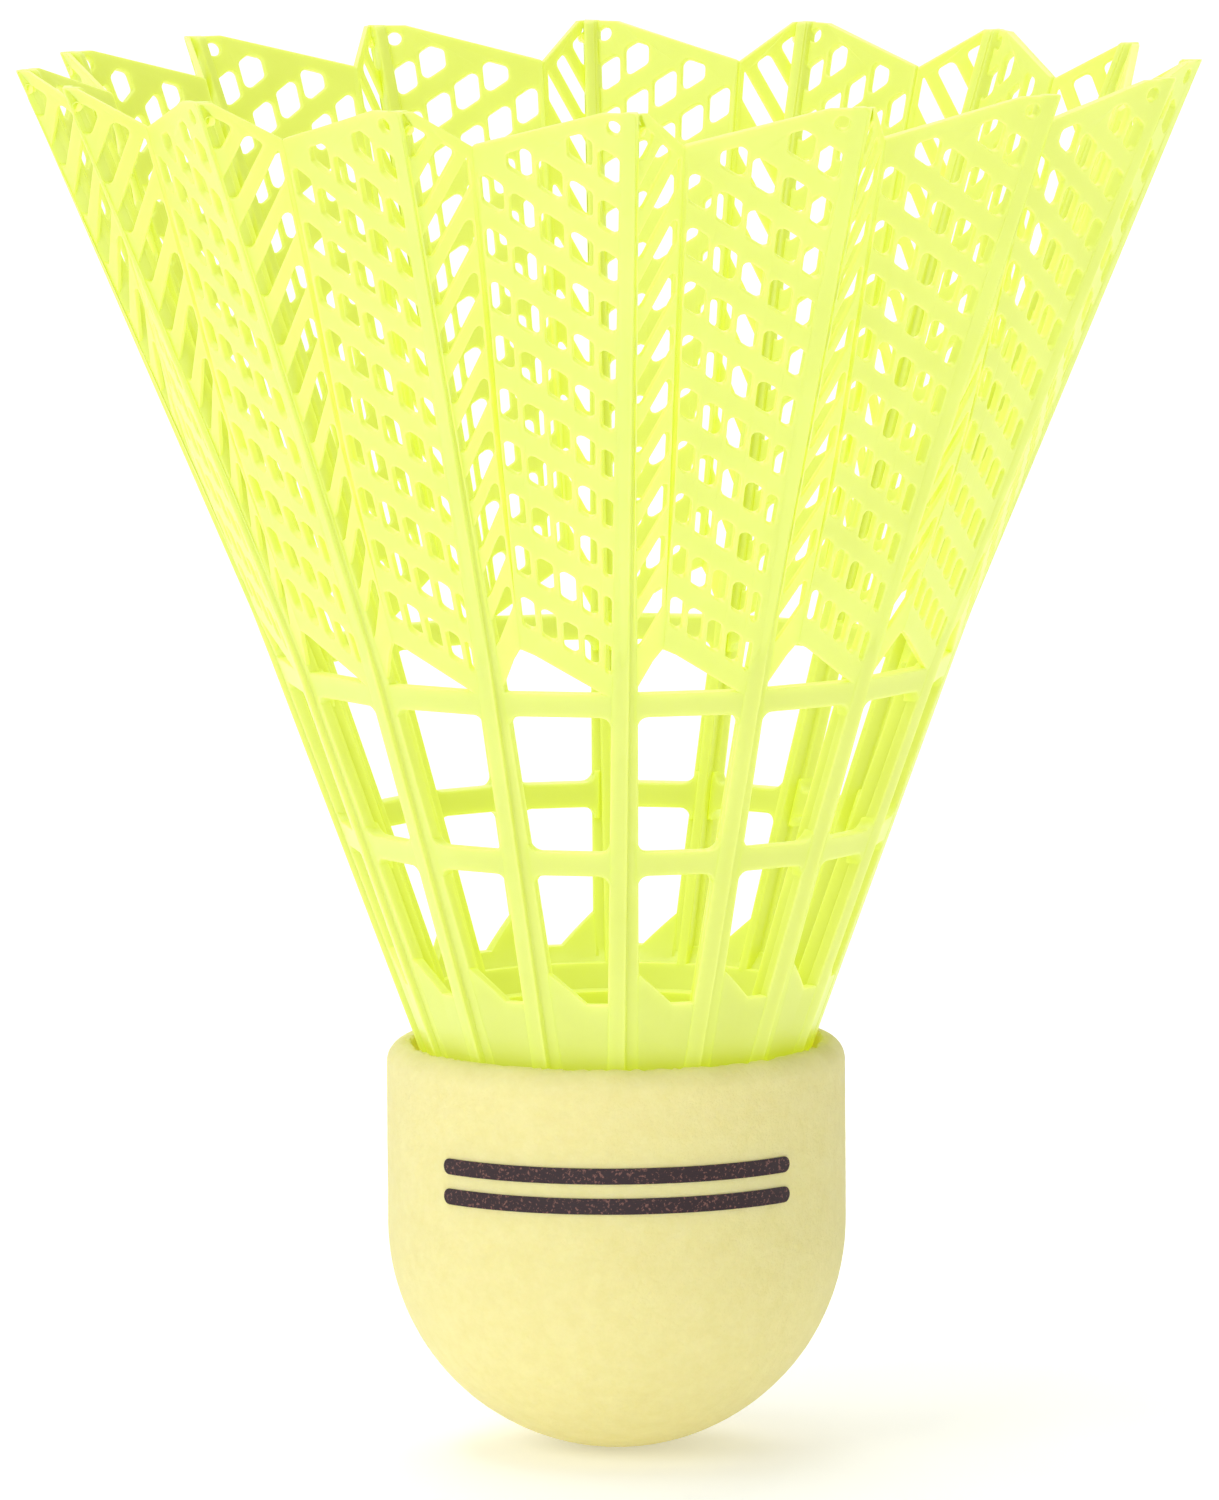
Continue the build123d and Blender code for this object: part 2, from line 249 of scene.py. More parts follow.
def area(polygon):
    """Signed area: positive for an anticlockwise polygon."""
    return 0.5 * sum(Vector(polygon[i - 1]).cross(Vector(p)) for i, p in enumerate(polygon))


def anticlockwise(polygon):
    return polygon if area(polygon) > 0 else polygon[::-1]


def collect(name, verts, faces):
    """A mesh object from millimetre points, smooth except at sharp edges."""
    mesh = bpy.data.meshes.new(name)
    mesh.from_pydata([Vector(v) * MM for v in verts], [], faces)
    mesh.validate()
    finish_mesh(mesh, SMOOTH_ANGLE)
    piece = bpy.data.objects.new(name, mesh)
    bpy.context.collection.objects.link(piece)
    return piece


def finish_mesh(mesh, smooth_angle):
    """Smooth shading except at edges sharper than this angle, in degrees."""
    for polygon in mesh.polygons:
        polygon.use_smooth = True
    mesh.set_sharp_from_angle(angle=math.radians(smooth_angle))
    mesh.update()


def plate(name, outline, holes, thickness, edge, place):
    """A flat plate with holes and softened edges; place maps its points to the frame."""
    curve = bpy.data.curves.new(name, "CURVE")
    curve.dimensions = "2D"
    curve.fill_mode = "BOTH"
    curve.extrude = thickness / 2 - edge
    curve.bevel_depth = edge
    curve.bevel_resolution = 1
    curve.offset = -edge
    for loop in [outline] + holes:
        spline = curve.splines.new("POLY")
        spline.points.add(len(loop) - 1)
        for point, (x, y) in zip(spline.points, loop):
            point.co = (x, y, 0, 1)
        spline.use_cyclic_u = True
    holder = bpy.data.objects.new(name, curve)
    bpy.context.collection.objects.link(holder)
    graph = bpy.context.evaluated_depsgraph_get()
    mesh = bpy.data.meshes.new_from_object(holder.evaluated_get(graph))
    bpy.data.objects.remove(holder)
    bpy.data.curves.remove(curve)
    verts = [place(v.co.x, v.co.y, v.co.z) for v in mesh.vertices]
    faces = [tuple(p.vertices) for p in mesh.polygons]
    bpy.data.meshes.remove(mesh)
    return verts, faces


def outward_faces(verts, faces):
    """The faces, all reversed if the mesh's volume comes out negative."""
    volume = 0
    for face in faces:
        a = Vector(verts[face[0]])
        for i in range(1, len(face) - 1):
            volume += a.dot(Vector(verts[face[i]]).cross(Vector(verts[face[i + 1]])))
    return faces if volume > 0 else [tuple(reversed(f)) for f in faces]


def turned(points, number):
    """The first vane's points, turned to the stem with this number."""
    turn = Matrix.Rotation(math.radians(number * VANE_PITCH), 3, "Z")
    return [turn @ Vector(p) for p in points]


# --- Panels ---------------------------------------------------------------------------------
# The barbs are laid out on flat panels through the cone's apex, a fold and a valley: x runs up
# the fold from the apex and y across to the valley. Each layout is then laid on a twisted
# sheet, whose valley lies close to the stems low down and ever deeper above a bend.


def valley_radius_at(height):
    """Radius of the valleys between the panels at this height."""
    bend_radius = fold_radius(VALLEY_BEND) * VALLEY_SHARE
    if height <= VALLEY_BEND:
        return fold_radius(height) * VALLEY_SHARE
    share = (height - VALLEY_BEND) / (VALLEY_HEIGHT - VALLEY_BEND)
    return mix(bend_radius, VALLEY_RADIUS, share)


def eased_valley_radius(height):
    """The same, with the bend smoothed over a few millimetres."""
    offsets = (-3.0, -1.5, 0.0, 1.5, 3.0)
    return sum(valley_radius_at(height + offset) for offset in offsets) / len(offsets)


class Panel:
    """One panel's flat layout and the sheet it is laid on."""

    def __init__(self, valley_azimuth, stem_side, thickness):
        fold = on_cone(TIP_RADIUS, TIP_HEIGHT, VANE_TURN) - APEX
        valley = on_cone(VALLEY_RADIUS, VALLEY_HEIGHT, valley_azimuth) - APEX
        self.azimuth = valley_azimuth
        self.stem_side = stem_side
        self.thickness = thickness
        self.fold_length = fold.length
        self.x_dir = fold.normalized()
        normal = fold.cross(valley).normalized()
        self.y_dir = normal.cross(self.x_dir)
        self.angle = fold.angle(valley)
        self.valley_up = valley.dot(self.x_dir)
        self.valley_across = valley.dot(self.y_dir)
        self.level = self.y_dir.z / self.x_dir.z

    def on_sheet(self, x, y):
        """A point of the layout on the sheet's outer surface."""
        height = APEX.z + self.x_dir.z * x + self.y_dir.z * y
        across = self.valley_across * (height - APEX.z) / (VALLEY_HEIGHT - APEX.z)
        edge_across, edge = self.stem_side(height)
        share = (y - edge_across) / (across - edge_across)
        valley = on_cone(eased_valley_radius(height), height, self.azimuth)
        return edge + (valley - edge) * share

    def place(self, x, y, depth):
        """depth is 0 in the middle of the sheet and positive outwards."""
        point = self.on_sheet(x, y)
        normal = (self.on_sheet(x + 0.2, y) - point).cross(self.on_sheet(x, y + 0.2) - point)
        if normal.x * point.x + normal.y * point.y < 0:
            normal = -normal
        placed = curved_in(point + normal.normalized() * (depth - self.thickness / 2 - SUNK))
        placed.z = min(placed.z, TIP_HEIGHT - TOP_GAP)
        return placed


def wide_stem_side(height):
    """The edge of the stem's outer face, where the wide panel starts flush with it."""
    return STEM_FACE, beside_fold(height, VANE_TURN, *face_edge(lean_at(height))[0])


def narrow_stem_side(height):
    """The edge of the stem's ledge, where the narrow panel starts."""
    ledge, drop = ramp(height, LEDGE_STOPS), ramp(height, DROP_STOPS)
    return ledge, beside_fold(height, VANE_TURN, ledge, -drop)


def panel_outline(plane, tip_flat, foot, slope, foot_start, tip_start, past_valley):
    """Corners of a panel, from inside its stem to a little past the valley."""
    tip = plane.fold_length
    tip_corner = tip - plane.level * tip_flat
    top_slope = (tip_corner - plane.valley_up) / (plane.valley_across - tip_flat)
    foot_across = foot * math.tan(plane.angle) / (1 - slope * math.tan(plane.angle))
    apex_start = foot_across - 0.8  # the foot ends in a short blunt edge at the valley
    return [
        (foot + slope * foot_start, foot_start),
        (foot + slope * apex_start, apex_start),
        (foot + slope * (apex_start + 0.45), foot_across - 0.1),
        (foot + slope * (apex_start + 0.5), foot_across + past_valley),
        (tip_corner - (plane.valley_across + past_valley - tip_flat) * top_slope,
         plane.valley_across + past_valley),
        (tip_corner, tip_flat),
        (tip - plane.level * tip_start, tip_start),
    ]


def slanted_hole(middle, slope, left, right):
    """A hole between two barbs and two lines from the apex, each an (angle, offset) pair."""
    half = (BARB_PITCH - BARB_WIDTH) / 2
    corners = []
    for (angle, offset), sign in ((left, -1), (left, 1), (right, 1), (right, -1)):
        rise = math.tan(angle)
        up = (middle + sign * half + slope * offset) / (1 - slope * rise)
        corners.append((up, up * rise + offset))
    return anticlockwise(corners)


def pierced(holes, plane, tip_flat):
    """The holes as far as they lie inside the border, with rounded corners."""
    tip = plane.fold_length
    corner = tip - plane.level * tip_flat
    top_slope = (corner - plane.valley_up) / (plane.valley_across - tip_flat)
    far = plane.valley_across + 2
    border = anticlockwise([
        (0, 0), (tip - PANEL_BORDER, 0), (corner - PANEL_BORDER, tip_flat),
        (corner - PANEL_BORDER - (far - tip_flat) * top_slope, far), (0, far),
    ])
    kept = []
    for hole in holes:
        shape = clipped(hole, border)
        if len(shape) > 2 and abs(area(shape)) > SMALLEST_HOLE:
            kept.append(rounded([tuple(p) for p in shape], HOLE_ROUND))
    return kept


gentle = Panel(VANE_TURN - VALLEY_BEHIND, wide_stem_side, PANEL_THICKNESS)
steep = Panel(VANE_TURN + VALLEY_AHEAD, narrow_stem_side, NARROW_THICKNESS)
HOOP_ON_FOLD = math.hypot(HOOP_RADIUS, UPPER_HOOP[1] - APEX.z)  # distance from the apex


def gentle_holes():
    """Rows of holes between the gentle panel's barbs and the bars that divide them."""
    bars = [gentle.angle * (1 - COLUMN_SHARE * bar) for bar in range(COLUMN_COUNT)]
    holes = []
    for row in range(ROW_COUNT):
        middle = HOOP_ON_FOLD + GENTLE_LOWEST_ROW + row * BARB_PITCH
        for column, bar in enumerate(bars):
            outer = (bar, -(VALLEY_BAR if column == 0 else COLUMN_BAR / 2))
            last = column + 1 == COLUMN_COUNT
            inner = (0, STEM_FACE) if last else (bars[column + 1], COLUMN_BAR / 2)
            holes.append(slanted_hole(middle, GENTLE_BARB_SLOPE, inner, outer))
    return holes


def steep_holes():
    """One slot in each row, from the stem to the valley."""
    ends = ((0, 0.12), (steep.angle, -VALLEY_BAR))
    return [
        slanted_hole(HOOP_ON_FOLD + STEEP_LOWEST_ROW + row * BARB_PITCH, STEEP_BARB_SLOPE, *ends)
        for row in range(ROW_COUNT)
    ]


def circle(x, y, radius, steps=20):
    """Corners of a round hole."""
    angles = [2 * math.pi * i / steps for i in range(steps)]
    return [(x + radius * math.cos(a), y + radius * math.sin(a)) for a in angles]


def build_panels():
    """The first vane's wide and narrow panels."""
    wide_outline = rounded(
        panel_outline(gentle, TIP_FLAT_GENTLE, HOOP_ON_FOLD + GENTLE_FOOT, GENTLE_BARB_SLOPE,
                      0.12, 0.12, 0.12),
        0.3,
    )
    cuts = pierced(gentle_holes(), gentle, TIP_FLAT_GENTLE)
    cuts.append(circle(gentle.fold_length - TIP_HOLE_DROP, TIP_HOLE_ACROSS, TIP_HOLE_RADIUS))
    wide = plate("wide", wide_outline, cuts, gentle.thickness, EDGE_ROUND, gentle.place)
    narrow_outline = rounded(
        panel_outline(steep, TIP_FLAT_STEEP, HOOP_ON_FOLD + STEEP_FOOT, STEEP_BARB_SLOPE,
                      0.1, 0.05, 0.12),
        0.2,
    )
    cuts = pierced(steep_holes(), steep, TIP_FLAT_STEEP)
    pin_drop, pin_across, pin_radius = TIP_PIN
    cuts.append(circle(steep.fold_length - pin_drop, pin_across, pin_radius, 12))
    narrow = plate("narrow", narrow_outline, cuts, steep.thickness, EDGE_ROUND, steep.place)
    return wide, narrow


# --- Stems ------------------------------------------------------------------------------------
# Each table gives (height, value) stops: the ledge's width beside the fold, how far it lies
# under the fold, and how deep the web reaches.

LEDGE_STOPS = (
    (COLLAR_TOP, 0.75), (UPPER_HOOP[1], 0.5), (60, 0.2), (66, 0.06), (TIP_HEIGHT, 0.05),
)
DROP_STOPS = ((UPPER_HOOP[1], 0.42), (54, 0.3), (62, 0.12), (TIP_HEIGHT, 0.05))
DEPTH_STOPS = (
    (COLLAR_TOP, 2.0), (UPPER_HOOP[1], 1.9), (60, 1.5), (TIP_HEIGHT - 3, 1.1), (TIP_HEIGHT, 0.7),
)


def lean_at(height):
    """How far the outer face leans back: flush with the wide panel above the hoop."""
    valley = eased_valley_radius(height)
    back = fold_radius(height) - valley * math.cos(math.radians(VALLEY_BEHIND))
    panel_lean = math.degrees(math.atan2(back, valley * math.sin(math.radians(VALLEY_BEHIND))))
    blend = ramp(height, ((UPPER_HOOP[1], 0.0), (UPPER_HOOP[1] + 5, 1.0)))
    return mix(FACE_LEAN, panel_lean, blend)


def face_edge(lean):
    """The outer face's far edge from the fold, and the edge of its underside."""
    back = math.radians(lean)
    outer = (-STEM_FACE * math.cos(back), -STEM_FACE * math.sin(back))
    under = (outer[0] + STEM_FLANGE * math.sin(back), outer[1] - STEM_FLANGE * math.cos(back))
    return outer, under


def stem_section(height, shrink):
    """Rounded section of a stem in its own plan, drawn in by shrink for the end caps."""
    lean = lean_at(height)
    recess = FACE_RECESS * ramp(height, ((UPPER_HOOP[1], 0.0), (UPPER_HOOP[1] + 3, 1.0)))
    outer, under = face_edge(lean)
    sink = recess / math.cos(math.radians(lean))
    outer, under = (outer[0], outer[1] - sink), (under[0], under[1] - sink)
    ledge, drop = ramp(height, LEDGE_STOPS), ramp(height, DROP_STOPS)
    # The web always reaches a little below the face and the ledge.
    depth = max(ramp(height, DEPTH_STOPS), drop + LEDGE_THICKNESS * 0.8)
    web_floor = max(-depth, under[1] - 0.9)
    depth = -min(web_floor, under[1] - 0.12)
    ledge_floor = max(-drop - LEDGE_THICKNESS, -depth + 0.15)
    corners = [
        (0, -sink), outer, under, (-WEB_LEFT, under[1]), (-WEB_LEFT, -depth),
        (WEB_RIGHT, -depth), (WEB_RIGHT, ledge_floor), (ledge, ledge_floor),
        (ledge, -drop), (0, -max(drop, sink + 0.02)),
    ]
    section = rounded(corners, 0.11, steps=3)
    middle = Vector((-0.3, -0.5))
    return [middle + (p - middle) * (1 - shrink) for p in section]


def build_stem():
    """The first vane's stem, lofted through sections from the collar to the tip."""
    # Sections from inside the collar to the upper hoop, through the vane, and at the tip.
    heights = [COLLAR_SEAT + 0.1, COLLAR_TOP - 2, COLLAR_TOP, 30, 33, 36, 39, 42, UPPER_HOOP[0]]
    heights += [UPPER_HOOP[1] + step for step in (0, 1, 2, 3.5, 5, 8, 11, 14, 17, 20, 23, 26, 29)]
    heights += [TIP_HEIGHT - 2, TIP_HEIGHT - 0.35, TIP_HEIGHT - EDGE_ROUND, TIP_HEIGHT]
    verts, faces = [], []
    for height in heights:
        shrink = 0.12 if height == TIP_HEIGHT else 0
        for p in stem_section(height, shrink):
            verts.append(curved_in(beside_fold(height, VANE_TURN, p.x, p.y)))
    size = len(verts) // len(heights)
    for level in range(len(heights) - 1):
        for i in range(size):
            a, b = level * size + i, level * size + (i + 1) % size
            faces.append((a, b, b + size, a + size))
    faces.append(tuple(range(size)))
    faces.append(tuple(range((len(heights) - 1) * size, len(heights) * size)))
    return verts, faces


# --- Hoops, collar and spigot --------------------------------------------------------------------


def ledge_point(height, azimuth):
    """The outer edge of a stem's ledge, where a hoop's bar starts."""
    return beside_fold(height, azimuth, ramp(height, LEDGE_STOPS), -ramp(height, DROP_STOPS))


def face_point(height, azimuth):
    """The far edge of the next stem's face, where the bar ends."""
    outer, _ = face_edge(FACE_LEAN)
    return beside_fold(height, azimuth, *outer)


def ramp_point(share, height, depth=0.0):
    """On the ramp from the first stem's ledge (share 0) to the next stem's face (1)."""
    start = ledge_point(height, VANE_TURN)
    end = face_point(height, VANE_TURN + VANE_PITCH)
    along = (end - start).normalized()
    outward = Vector((along.y, -along.x, 0))
    return start + (end - start) * share + outward * depth


def build_hoop(low, high, top_flare):
    """One bar of a hoop, flared where it meets the stems."""
    middle = (low + high) / 2
    span = (ramp_point(1, middle) - ramp_point(0, middle)).length
    tuck = 0.3  # how far the bar reaches into the stems
    lower, upper = low - FLARE, high + top_flare
    angles = [math.radians(90 * i / 5) for i in range(6)]

    def flare(x, z, radius, side, up):
        """A quarter arc from the stem's side to the bar's edge."""
        return [
            (x + side * radius * (1 - math.cos(a)), z + up * radius * (1 - math.sin(a)))
            for a in angles
        ]

    outline = [(-tuck, lower), *flare(0, low, FLARE, 1, -1)]
    outline += [*reversed(flare(span, low, FLARE, -1, -1)), (span + tuck, lower)]
    outline += [(span + tuck, upper), *flare(span, high, top_flare, -1, 1)]
    outline += [*reversed(flare(0, high, top_flare, 1, 1)), (-tuck, upper)]

    def place(x, z, depth):
        return ramp_point(x / span, z, depth - HOOP_WALL / 2 - SUNK)

    return plate("hoop", outline, [], HOOP_WALL, HOOP_EDGE, place)


def inner_radius(height):
    """Radius of the collar's plain inner surface."""
    return fold_radius(height) - COLLAR_WALL


# Steps inside the collar: (height that gives the plain radius, added to it, own height).
INSIDE_STEPS = ((26.1, 0.2, 26.12), (26.1, -0.2, 26.1), (24.7, -0.3, 24.72), (24.6, -0.75, 24.6))


def build_collar():
    """The ratchet-shaped ring: a wall profile swept round every ramp and stem."""
    samples, seat, fine = 18, COLLAR_SEAT + 0.02, 0.04
    face_x, face_y = face_edge(FACE_LEAN)[0]
    columns = [("ramp", i / samples) for i in range(samples + 1)]
    columns += [("stem", (face_x * s, face_y * s - 0.08)) for s in (0.75, 0.4, 0.05)]
    columns += [("stem", (0.1, -0.5)), ("stem", (0.5, -0.5))]

    def outer(column, height):
        kind, at = column
        if kind == "ramp":
            return ramp_point(at, height, -SUNK)
        return beside_fold(height, VANE_TURN + VANE_PITCH, *at)

    def sill(column):
        """Height of the rim: a gusset rises beside each stem."""
        kind, at = column
        if kind == "stem":
            return COLLAR_TOP
        start, end = ramp_point(0, COLLAR_TOP), ramp_point(1, COLLAR_TOP)
        run = at * (end - start).length
        return COLLAR_TOP + GUSSET_HEIGHT * max(0.0, 1 - run / GUSSET_WIDTH)

    def wall(column):
        """The wall's section: up the outside, over the rim and down the inside."""
        top = sill(column)
        levels = ((seat, 0), (24.4, 0), (top - HOOP_EDGE, 0), (top - fine, fine), (top, HOOP_EDGE))
        profile = []
        for z, inset in levels:
            point = outer(column, z)
            radius = math.hypot(point.x, point.y)
            keep = (radius - inset) / radius
            profile.append(Vector((point.x * keep, point.y * keep, z)))
        direction = Vector((profile[-1].x, profile[-1].y, 0)).normalized()
        rim = min(inner_radius(top) + 0.55, profile[-1].xy.length - 0.5)
        inner = [(rim + HOOP_EDGE, top), (rim + fine, top - fine), (rim, top - HOOP_EDGE)]
        inner.append((min(rim, inner_radius(26.4) + 0.35), 26.4))
        inner += [(inner_radius(at) + added, z) for at, added, z in INSIDE_STEPS]
        inner.append((SPIGOT_RADIUS - SPIGOT_WALL, seat))
        return profile + [direction * r + Vector((0, 0, z)) for r, z in inner]

    verts, faces = [], []
    walls = [wall(column) for column in columns]
    for number in range(VANE_COUNT):
        for points in walls:
            verts += turned(points, number)
    size, total = len(walls[0]), len(columns) * VANE_COUNT
    for c in range(total):
        n = (c + 1) % total
        for i in range(size):
            j = (i + 1) % size
            faces.append((c * size + i, n * size + i, n * size + j, c * size + j))
    return verts, faces


def revolved(profile, steps=192):
    """Verts and faces of a closed body from an open (radius, height) profile on the axis."""
    verts, faces, rings = [], [], []
    for radius, height in profile:
        if radius < 1e-6:
            rings.append([len(verts)])
            verts.append(Vector((0, 0, height)))
            continue
        ring = []
        for i in range(steps):
            ring.append(len(verts))
            verts.append(on_cone(radius, height, 360 * i / steps))
        rings.append(ring)
    for lower, upper in zip(rings, rings[1:]):
        for i in range(steps):
            j = (i + 1) % steps
            if len(lower) == 1 and len(upper) > 1:
                faces.append((lower[0], upper[j], upper[i]))
            elif len(upper) == 1 and len(lower) > 1:
                faces.append((lower[i], lower[j], upper[0]))
            elif len(lower) > 1:
                faces.append((lower[i], lower[j], upper[j], upper[i]))
    return verts, outward_faces(verts, faces)


def build_spigot():
    """The cup under the collar, with the moulding's gate mark in its floor."""
    floor = SPIGOT_BOTTOM + SPIGOT_FLOOR
    low_radius = SPIGOT_RADIUS - (COLLAR_SEAT - SPIGOT_BOTTOM) * math.tan(math.radians(2))
    top = COLLAR_SEAT + 0.05
    bore, low_bore = SPIGOT_RADIUS - SPIGOT_WALL, low_radius - SPIGOT_WALL
    profile = [
        (0, SPIGOT_BOTTOM), (low_radius - 0.3, SPIGOT_BOTTOM), (low_radius, SPIGOT_BOTTOM + 0.3),
        (SPIGOT_RADIUS, COLLAR_SEAT - 0.1), (SPIGOT_RADIUS - 0.05, top),
        (bore + 0.05, top), (bore, COLLAR_SEAT - 0.1),
        (low_bore + 0.02, floor + 0.7), (low_bore - 0.15, floor + 0.2),
        (low_bore - 0.7, floor), (4.2, floor), (4.05, floor - 0.15),
        (2.0, floor - 0.15), (1.85, floor), (0.9, floor), (0.8, floor + 0.35),
        (0.6, floor + 0.45), (0, floor + 0.42),
    ]
    return revolved(profile, 128)


# --- Foam head and printed stripes -------------------------------------------------------------

MOUTH = RIM_RADIUS + MOUTH_GAP  # radius of the foam's opening round the stems
SOCKET_LOW = SPIGOT_BOTTOM - 0.15


def head_profile():
    """Half outline of the head: nose, side, rounded rim, mouth and shoulder."""
    points = []
    for i in range(61):
        angle = math.radians(90 * i / 60)
        points.append((HEAD_RADIUS * math.sin(angle), HEAD_RADIUS - HEAD_RADIUS * math.cos(angle)))
    side_top = HEAD_HEIGHT - RIM_ROUND
    for i in range(1, 37):
        points.append((HEAD_RADIUS, mix(HEAD_RADIUS, side_top, i / 36)))
    for i in range(1, 11):
        angle = math.radians(90 * i / 10)
        points.append((HEAD_RADIUS - RIM_ROUND + RIM_ROUND * math.cos(angle),
                       side_top + RIM_ROUND * math.sin(angle)))
    points += [(MOUTH + 0.1, HEAD_HEIGHT - 0.02), (MOUTH, HEAD_HEIGHT - 0.15)]
    points += [(MOUTH, COLLAR_SEAT + 0.5), (MOUTH, COLLAR_SEAT)]
    points += [(SPIGOT_RADIUS + 0.15, COLLAR_SEAT), (SPIGOT_RADIUS - 0.06, SOCKET_LOW)]
    points.append((0, SOCKET_LOW))
    return points


def foam_dent(point):
    """How far the foam's surface lies under the smooth head: soft unevenness and grain."""
    broad = 0.5 + 0.5 * noise.noise(point * 0.22 + Vector((3.1, 0.7, 5.2)))
    pebble = 0.5 + 0.5 * noise.noise(point * 1.9 + Vector((8.3, 2.9, 1.1)))
    grain = abs(noise.noise(point * 4.7 + Vector((1.7, 6.1, 9.4))))
    return 0.03 * broad + 0.02 * pebble + 0.015 * grain


def build_head():
    """The foam head, with an uneven surface and a roughly cut rim around the mouth."""
    verts, faces = revolved(head_profile(), 288)
    made = []
    for v in verts:
        radius = math.hypot(v.x, v.y)
        inside = v.z > SPIGOT_BOTTOM and radius < RIM_RADIUS
        if inside or v.z == SOCKET_LOW:
            made.append(v)
            continue
        if v.z > HEAD_RADIUS and radius > 0:
            normal = Vector((v.x / radius, v.y / radius, 0))
        else:
            normal = (v - Vector((0, 0, HEAD_RADIUS))).normalized()
        dent = foam_dent(v)
        near_mouth = max(0.0, 1 - abs(radius - RIM_RADIUS - MOUTH_GAP) / 0.6)
        rim = near_mouth if v.z > HEAD_HEIGHT - 1 else 0
        nick = rim * RIM_NIBBLE * max(0.0, noise.noise(v * 2.6 + Vector((4.4, 1.2, 0.3))) + 0.15)
        away = Vector((v.x, v.y, 0)).normalized()
        made.append(v - normal * dent + away * nick - Vector((0, 0, nick)))
    return made, faces


def build_stripe(low):
    """A thin film on the front of the head with rounded ends."""
    rows, end_steps, middle_steps = 8, 7, 90
    half_span = STRIPE_SPAN / 2
    end = math.degrees(STRIPE_HEIGHT / 2 / HEAD_RADIUS)
    straight = half_span - end
    azimuths = [mix(-straight, straight, c / middle_steps) for c in range(1, middle_steps)]
    for step in range(end_steps + 1):
        bow = straight + end * math.sin(math.radians(90 * step / end_steps))
        azimuths = [-bow] + azimuths + [bow]
    columns = len(azimuths) - 1
    verts, faces = [], []
    outer, inner = HEAD_RADIUS + INK_THICKNESS - 0.012, HEAD_RADIUS - 0.08
    layers = []
    for radius in (outer, inner):
        layer = []
        for azimuth in azimuths:
            from_end = min(1.0, (half_span - abs(azimuth)) / end)
            squeeze = max(math.sqrt(1 - (1 - from_end) ** 2), 0.12)
            for r in range(rows + 1):
                v = (r / rows - 0.5) * STRIPE_HEIGHT * squeeze + low + STRIPE_HEIGHT / 2
                layer.append(len(verts))
                verts.append(on_cone(radius, v, azimuth))
        layers.append(layer)
    stride = rows + 1
    for side, layer in enumerate(layers):
        for c in range(columns):
            for r in range(rows):
                i = c * stride + r
                quad = (layer[i], layer[i + stride], layer[i + stride + 1], layer[i + 1])
                faces.append(quad if side == 0 else quad[::-1])
    loop = [c * stride for c in range(columns + 1)]
    loop += [columns * stride + r for r in range(1, rows + 1)]
    loop += [c * stride + rows for c in range(columns - 1, -1, -1)]
    loop += [r for r in range(rows - 1, 0, -1)]
    for k, i in enumerate(loop):
        j = loop[(k + 1) % len(loop)]
        faces.append((layers[0][j], layers[0][i], layers[1][i], layers[1][j]))
    return verts, faces


# --- Materials ------------------------------------------------------------------------------


def new_material(name):
    """A material, its node tree and its shader."""
    material = bpy.data.materials.new(name)
    material.use_nodes = True
    return material, material.node_tree, material.node_tree.nodes["Principled BSDF"]


def noise_node(tree, scale, detail, roughness=0.5):
    """Noise in the object's own coordinates; the scale is per metre."""
    coords = tree.nodes.new("ShaderNodeTexCoord")
    node = tree.nodes.new("ShaderNodeTexNoise")
    node.inputs["Scale"].default_value = scale
    node.inputs["Detail"].default_value = detail
    node.inputs["Roughness"].default_value = roughness
    tree.links.new(coords.outputs["Object"], node.inputs["Vector"])
    return node


def colour_ramp(tree, source, stops):
    """A blend between two (position, colour) stops."""
    node = tree.nodes.new("ShaderNodeValToRGB")
    for element, (position, colour) in zip(node.color_ramp.elements, stops):
        element.position, element.color = position, (*colour, 1)
    tree.links.new(source, node.inputs["Fac"])
    return node


def value_range(tree, source, low, high):
    """The source, from 0 to 1, spread between two values."""
    node = tree.nodes.new("ShaderNodeMapRange")
    node.inputs["To Min"].default_value, node.inputs["To Max"].default_value = low, high
    tree.links.new(source, node.inputs["Value"])
    return node.outputs["Result"]


def bumped(tree, shader, source, strength, distance):
    """Fine relief, this deep in metres, on the shader's normal."""
    node = tree.nodes.new("ShaderNodeBump")
    node.inputs["Strength"].default_value = strength
    node.inputs["Distance"].default_value = distance
    tree.links.new(source, node.inputs["Height"])
    tree.links.new(node.outputs["Normal"], shader.inputs["Normal"])


def nylon():
    """Fluorescent translucent nylon: soft gloss, faint flow marks, mould texture and a painted
    glow.
    """
    material, tree, shader = new_material("moulded_nylon")
    flow = noise_node(tree, 160, 4)
    tint = colour_ramp(tree, flow.outputs["Fac"], (
        (0.3, (0.435, 0.46, 0.195)), (0.7, (0.475, 0.50, 0.225))))
    tree.links.new(tint.outputs["Color"], shader.inputs["Base Color"])
    tree.links.new(value_range(tree, flow.outputs["Fac"], 0.33, 0.46), shader.inputs["Roughness"])
    texture = noise_node(tree, 2600, 2)
    bumped(tree, shader, texture.outputs["Fac"], 0.12, 0.00005)
    shader.inputs["IOR"].default_value = 1.5
    shader.inputs["Specular IOR Level"].default_value = 0.35
    shader.inputs["Subsurface Weight"].default_value = 0.7
    shader.inputs["Subsurface Radius"].default_value = (1.0, 1.0, 0.5)
    shader.inputs["Subsurface Scale"].default_value = 0.0014
    # The emission is a painted glow, not lamp light: it keeps the shaded and inner faces bright
    # saturated yellow, as light shining through the thin nylon would.
    shader.inputs["Emission Color"].default_value = (0.84, 1.0, 0.0, 1)
    shader.inputs["Emission Strength"].default_value = 0.4
    return material


